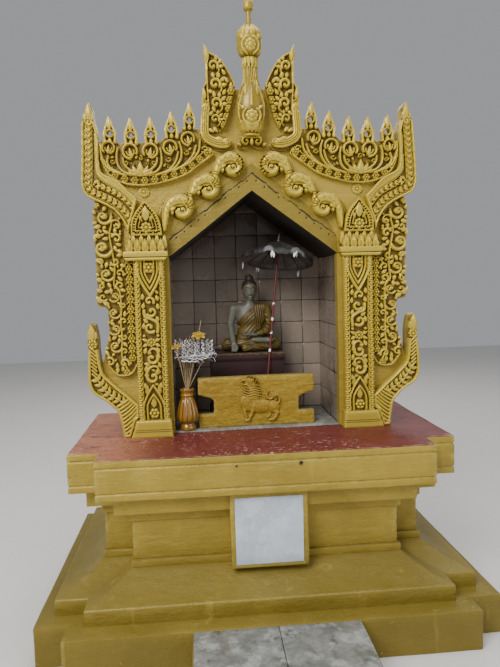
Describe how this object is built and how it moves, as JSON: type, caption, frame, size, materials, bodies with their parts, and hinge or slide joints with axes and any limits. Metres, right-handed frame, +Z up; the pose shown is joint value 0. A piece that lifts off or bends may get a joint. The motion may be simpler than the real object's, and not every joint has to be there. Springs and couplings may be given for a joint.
{
  "type": "small buddhist shrine",
  "caption": "Free-standing masonry shrine: stepped pedestal, tiled gabled niche with carved gilt front, altar panel, seated figure, parasol and vase.",
  "frame": {"origin": "middle of the shrine's plan on the ground, under the plinth", "axes": "+Z up, the niche opens towards -Y, +X to the right seen from the front"},
  "size_m": [1.79, 1.714, 2.7],
  "materials": {
    "ochre_paint": "ochre-yellow exterior paint on cement plaster, slightly worn",
    "gilt_stucco": "old-gold paint on carved stucco, darker in the recesses",
    "red_screed": "red oxide floor paint on cement, chipped",
    "white_marble": "polished white marble, faint grey veins",
    "grey_marble": "worn grey mottled marble",
    "wall_glaze": "taupe glazed wall tiles with dark joints",
    "altar_paint": "warm yellow paint",
    "maroon_lacquer": "dark maroon lacquer with a gilt rim",
    "figure_stone": "white stone with gilt robe and dark hair",
    "red_lacquer": "red lacquered pole with white bands",
    "silver_cloth": "grey silvered cloth",
    "amber_glaze": "amber-brown ribbed glaze",
    "bamboo": "split bamboo sticks",
    "white_paper": "cut white paper"
  },
  "bodies": {
    "root": {"plinth_tier": "ochre_paint", "cove_tier": "ochre_paint", "dado_base_moulding": "ochre_paint", "pedestal_dado": "ochre_paint", "dado_top_moulding": "ochre_paint", "corbel_course": "ochre_paint", "cornice_fascia": "ochre_paint", "red_screed": "red_screed", "offering_step": "ochre_paint", "step_tile_left": "grey_marble", "step_tile_right": "grey_marble", "plaque_frame": "ochre_paint", "marble_plaque": "white_marble", "niche_floor": "grey_marble", "left_wall": "ochre_paint", "right_wall": "ochre_paint", "back_wall": "ochre_paint", "left_wall_tiles": "wall_glaze", "right_wall_tiles": "wall_glaze", "back_wall_tiles": "wall_glaze", "roof_slab_left": "ochre_paint", "roof_slab_right": "ochre_paint", "jamb_panel_left": "ochre_paint", "jamb_panel_right": "ochre_paint", "gable_panel": "ochre_paint", "left_pilaster_base": "gilt_stucco", "left_pilaster_shaft": "gilt_stucco", "left_pilaster_capital": "gilt_stucco", "left_pilaster_leaf": "gilt_stucco", "left_fretwork": "gilt_stucco", "left_lower_horn": "gilt_stucco", "left_upper_horn": "gilt_stucco", "left_crescent": "gilt_stucco", "left_wave_scroll": "gilt_stucco", "left_wing": "gilt_stucco", "right_pilaster_base": "gilt_stucco", "right_pilaster_shaft": "gilt_stucco", "right_pilaster_capital": "gilt_stucco", "right_pilaster_leaf": "gilt_stucco", "right_fretwork": "gilt_stucco", "right_lower_horn": "gilt_stucco", "right_upper_horn": "gilt_stucco", "right_crescent": "gilt_stucco", "right_wave_scroll": "gilt_stucco", "right_wing": "gilt_stucco", "bird_body": "gilt_stucco", "bird_finial": "gilt_stucco", "offering_altar": "altar_paint", "lion_relief": "altar_paint", "statue_pedestal": "maroon_lacquer", "seated_figure": "figure_stone", "parasol_pole": "red_lacquer", "parasol_canopy": "silver_cloth", "offering_vase": "amber_glaze", "incense_sticks": "bamboo", "paper_streamers": "white_paper"}
  },
  "joints": []
}
